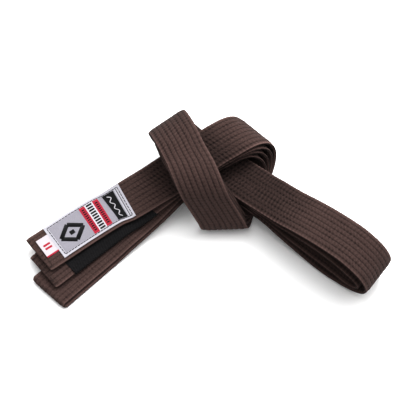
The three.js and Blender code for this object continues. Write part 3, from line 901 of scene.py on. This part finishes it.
def stroke(name, layer, points, width, t_range, material):
    """A raised band of one width through (s, u) points."""
    pts = np.array(points, float)
    heading = np.gradient(pts, axis=0)
    heading /= np.linalg.norm(heading, axis=1)[:, None]
    normal = np.stack([-heading[:, 1], heading[:, 0]], axis=-1) * width / 2
    left, right = pts + normal, pts - normal
    low, high = t_range
    ring_s = np.stack([left[:, 0], right[:, 0], right[:, 0], left[:, 0]], axis=-1)
    ring_u = np.stack([left[:, 1], right[:, 1], right[:, 1], left[:, 1]], axis=-1)
    ring_t = np.broadcast_to([low, low, high, high], ring_s.shape)
    made = []
    for s, u, t in zip(ring_s, ring_u, ring_t):
        for point_s, point_u, point_t in zip(s, u, t):
            found = square_run(layer, np.array([point_s]))
            made.append(bundle_points(found, np.array([[point_u]]), np.array([[point_t]]))[0, 0])
    return cloth_mesh(name, np.array(made), tube_faces(len(pts), 4, True),
                      vectors(ring_s.shape, ring_s, ring_u, ring_t), material)


# heights above the middle of the layer: its face, and what is woven into and on the label
FACE = 1.72
PRINT = (FACE + 0.5, FACE + 0.72)
RAISED = (FACE + 0.62, FACE + 0.84)

RED_STRIPES = ((0.437, 0.505), (0.604, 0.672))
LIGHT_STRIPE = (0.505, 0.604)
LABEL = {"start": 16.2, "length": 83.0, "half_width": 18.0, "shift": 0.9}
FIELD = (LABEL["shift"] - 14.9, LABEL["shift"] + 14.9)


def along_label(share):
    """Places along the belt from shares of the label's length."""
    return tuple(LABEL["start"] + LABEL["length"] * x for x in share)


label = slab("woven_label_base", 1, along_label((0, 1)),
             (LABEL["shift"] - LABEL["half_width"], LABEL["shift"] + LABEL["half_width"]),
             (FACE, FACE + 0.5), LABEL_BORDER)
label_field = slab("woven_label_field", 1, along_label((0.045, 0.92)), FIELD,
                   (FACE + 0.4, FACE + 0.6), LABEL_FIELD)
red_stripes = joined("woven_label_red_stripes", [
    slab("stripe", 1, along_label(share), FIELD, PRINT, LABEL_RED)
    for share in RED_STRIPES
])
light_stripe = slab("woven_label_light_stripe", 1, along_label(LIGHT_STRIPE), FIELD,
                    (FACE + 0.5, FACE + 0.66), LABEL_WHITE)
panel = slab("woven_label_panel", 1, along_label((0.75, 0.91)), FIELD, PRINT, LABEL_BLACK)
middle_u = LABEL["shift"] - 1
diamond = [(24, middle_u), (36, middle_u - 9), (48, middle_u), (36, middle_u + 9), (24, middle_u)]
emblem = joined("woven_label_emblem", [
    stroke("edge", 1, [a, b], 4.0, PRINT, LABEL_BLACK) for a, b in zip(diamond, diamond[1:])
] + [slab("middle", 1, (33.6, 38.4), (middle_u - 2, middle_u + 2), PRINT, LABEL_BLACK)])
label_bars = joined("woven_label_bars", [
    slab("bar", 1, along_label((0.522, 0.588)), (u - 0.85, u + 0.85), RAISED, LABEL_BLACK)
    for u in LABEL["shift"] + np.linspace(-13.2, 13.2, 10)
])
stripe_bars = joined("woven_label_stripe_bars", [
    slab("bar", 1, along_label(share), (u - 0.6, u + 0.6), RAISED, LABEL_BLACK)
    for share in ((0.455, 0.487), (0.622, 0.654))
    for u in LABEL["shift"] + np.linspace(-11.5, 11.5, 11)
])
wave_u = np.linspace(-12.5, 12.5, 60)
label_wave = stroke("woven_label_wave", 1, np.stack([
    along_label((0.83,))[0] + 1.9 * np.sin(wave_u * 0.82), wave_u + LABEL["shift"]], axis=-1),
    1.1, RAISED, LABEL_WHITE)
low_u, high_u = LABEL["shift"] - 15.6, LABEL["shift"] + 15.6
near_s, far_s = along_label((0.032, 0.972))
frame_path = [((near_s, low_u), (far_s, low_u)), ((near_s, high_u), (far_s, high_u)),
              ((near_s, low_u), (near_s, high_u)), ((far_s, low_u), (far_s, high_u))]
label_seam = dashes("woven_label_seam", 1, frame_path, 0.6, (FACE + 0.46, FACE + 0.76),
                    SEAM_THREAD, dash=2.7, gap=0.5)
label_line = slab("woven_label_line", 1, along_label((0.942, 0.949)), FIELD,
                  (FACE + 0.45, FACE + 0.58), LABEL_BLACK)

# size tag: a small tape tab that comes out from under the label's edge


def tag_lift(s):
    """The tab's free end lies a little off the cover."""
    return 0.45 * smooth((13 - s) / 9)


TAG_RANGE = (3.7, 17.0)
tag = slab("size_tag_tape", 1, TAG_RANGE, (-7.8, 12), (FACE, FACE + 0.26), TAG_WHITE, 1.0,
           lift=tag_lift)
tag_edge = slab("size_tag_red_edge", 1, TAG_RANGE, (-8.1, -6.6), (FACE + 0.05, FACE + 0.36),
                LABEL_RED, 1.0, lift=tag_lift)
tag_marks = joined("size_tag_marks", [
    slab("mark", 1, (6.6, 13.6), (u, u + 1.9), (FACE + 0.2, FACE + 0.36), LABEL_RED, 1.0,
         lift=tag_lift)
    for u in (-1.0, 2.6)
])

# rank bar: a black sleeve round the tail, with a turned hem at both ends
BAR = (BAR_TAIL + 22.0, BAR_TAIL + 116.0)


def bar_sleeve(name, material):
    """The rank bar: a ribbed, closed sleeve with an outer and an inner face."""
    s = np.arange(BAR[0], BAR[1] + 0.01, 0.5)
    stations = layer_run(2, s, 1)
    u_top = np.linspace(-19.4, 19.4, 53)
    rim = np.radians(np.linspace(-60, 60, 5))
    right = [(19.2 + 1.35 * math.cos(a), math.sin(a)) for a in rim]
    profile = [(u, -1) for u in u_top] + right
    profile += [(u, 1) for u in u_top[::-1]] + [(-u, -v) for u, v in right]
    u = np.array([p[0] for p in profile])
    side = np.array([p[1] for p in profile])
    hem = np.minimum(s - BAR[0], BAR[1] - s)[:, None]
    hem = 0.16 * (1 - smooth((hem - 4.5) / 0.8)) - 0.12 * np.exp(-(((hem - 4.0) / 0.5) ** 2))
    ribs = 0.10 * np.cos(2 * math.pi * u / ROW_GAP)
    over = np.sin(2 * math.pi * s[:, None] / 1.5 + np.round(u / 0.75) * math.pi)
    outer = side * (2.1 + hem + (ribs + 0.05 * over) * (np.abs(u) < 18.5))
    inner = side * np.full(hem.shape, 1.82)
    shrink = np.where(np.abs(u) > 19, 0.992, 1)
    outside = bundle_points(stations, u, outer)
    inside = bundle_points(stations, u * shrink, inner)
    rings, sides = outer.shape
    base, end = rings * sides, (rings - 1) * sides
    tube = np.array(tube_faces(rings, sides, False)[:-2])
    faces = tube.tolist() + (base + tube[:, ::-1]).tolist()
    for k in range(sides):
        n = (k + 1) % sides
        faces.append([n, k, base + k, base + n])
        faces.append([end + k, end + n, base + end + n, base + end + k])
    points = np.concatenate([outside.reshape(-1, 3), inside.reshape(-1, 3)])
    cloth = vectors(outer.shape, s[:, None], u, side)
    return cloth_mesh(name, points, faces, np.concatenate([cloth, cloth]), material)


bar = bar_sleeve("rank_bar_sleeve", BAR_CLOTH)
bar_seam = dashes("rank_bar_seam", 2, [
    ((BAR[0] + 3.6, -18.5), (BAR[0] + 3.6, 18.5)), ((BAR[1] - 3.6, -18.5), (BAR[1] - 3.6, 18.5)),
], 0.4, (2.1, 2.36), BAR_THREAD)


def closing(name, layer, s):
    """Closing stitches across a cut end of the belt."""
    return dashes(name, layer, [((s, -17.5), (s, 17.5))], 0.4, (1.3, 1.66), QUILT_THREAD)


label_closing = closing("label_end_closing_stitches", 1, 3.0)
bar_closing = closing("rank_bar_end_closing_stitches", 2, BAR_TAIL + 3.0)

# ------------------------------------------------------------------ what rides on what

for piece in (label_cover, label_stitches):
    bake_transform(piece)
for piece in (bar_cover, bar_stitches):
    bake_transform(piece)
for piece in [knot_cover, *knot_stitches]:
    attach(piece, "knot")
label_prints = [label_field, red_stripes, light_stripe, panel, emblem, label_bars, stripe_bars,
                label_wave, label_seam, label_line]
for piece in [label, *label_prints, label_closing]:
    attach(piece, "label_end")
for piece in (bar, bar_seam, bar_closing):
    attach(piece, "rank_bar_end")
for piece in (tag, tag_edge, tag_marks):
    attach(piece, "size_tag")

tail_nodes = {"label": ["cover_label_tail", "core_label_tail"],
              "bar": ["cover_rank_bar_tail", "core_rank_bar_tail"]}
knot_nodes = [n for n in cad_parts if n.startswith(("cover_", "core_"))
              and n not in tail_nodes["label"] + tail_nodes["bar"]]
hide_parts(*knot_nodes)
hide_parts(*tail_nodes["label"])
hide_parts(*tail_nodes["bar"])
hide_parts("woven_label")
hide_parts("rank_bar")
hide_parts("size_tag")


# ------------------------------------------------------------------ floor, light and camera

floor_shader = Shader("floor_paper", 0.9)
floor_noise = floor_shader.noise(floor_shader.attribute("cloth")[0], 0.02, 2)
floor_color = floor_shader.mix(floor_noise, [0.88, 0.88, 0.88, 1], [0.9, 0.9, 0.9, 1])
FLOOR = floor_shader.finish(floor_color, floor_noise, 0.02, 0.0001)
FLOOR_REACH = 4000.0
corners = [(-1, -1, 0), (1, -1, 0), (1, 1, 0), (-1, 1, 0)]
floor = cloth_mesh(
    "floor", np.array(corners) * FLOOR_REACH, [[0, 1, 2, 3]], np.zeros((4, 3)), FLOOR)

world = bpy.data.worlds.new("studio")
bpy.context.scene.world = world
world.use_nodes = True
SKY = {"towards": (0.22, 0.3, 0.928), "even": 0.42, "overhead": 4.4, "focus": 4.0}
sky_nodes, sky_links = world.node_tree.nodes, world.node_tree.links
sky_direction = sky_nodes.new("ShaderNodeTexCoord").outputs["Generated"]
facing = sky_nodes.new("ShaderNodeVectorMath")
facing.operation = "DOT_PRODUCT"
sky_links.new(sky_direction, facing.inputs[0])
facing.inputs[1].default_value = SKY["towards"]
sky_value = facing.outputs["Value"]
for operation, number in (("MAXIMUM", 0.0), ("POWER", SKY["focus"]), ("MULTIPLY", SKY["overhead"]),
                          ("ADD", SKY["even"])):
    step = sky_nodes.new("ShaderNodeMath")
    step.operation = operation
    sky_links.new(sky_value, step.inputs[0])
    step.inputs[1].default_value = number
    sky_value = step.outputs[0]
sky_links.new(sky_value, sky_nodes["Background"].inputs["Strength"])
sky_nodes["Background"].inputs["Color"].default_value = (1, 1, 1, 1)


def softbox(name, where, target, size, power):
    light = bpy.data.lights.new(name, "AREA")
    light.size = size
    light.energy = power
    made = bpy.data.objects.new(name, light)
    made.location = where
    made.rotation_mode = "QUATERNION"
    made.rotation_quaternion = (Vector(target) - Vector(where)).to_track_quat("-Z", "Y")
    bpy.context.scene.collection.objects.link(made)


softbox("key", (0.45, 0.75, 1.2), (0, 0, 0), 0.45, 14)

CAMERA = {"target": (-0.00026, 0.00992, 0), "elevation": 65.43, "distance": 1.2, "lens": 110.08}
tilt = math.radians(CAMERA["elevation"])
back = Vector((0, -math.cos(tilt), math.sin(tilt)))
camera_data = bpy.data.cameras.new("camera")
camera_data.lens = CAMERA["lens"]
camera_data.sensor_width = 36
camera_data.clip_start, camera_data.clip_end = 0.01, 20
camera = bpy.data.objects.new("camera", camera_data)
camera.location = Vector(CAMERA["target"]) + back * CAMERA["distance"]
camera.rotation_mode = "QUATERNION"
camera.rotation_quaternion = (-back).to_track_quat("-Z", "Y")
bpy.context.scene.collection.objects.link(camera)
bpy.context.scene.camera = camera
bpy.context.scene.view_settings.view_transform = "Standard"
bpy.context.scene.view_settings.gamma = 0.8
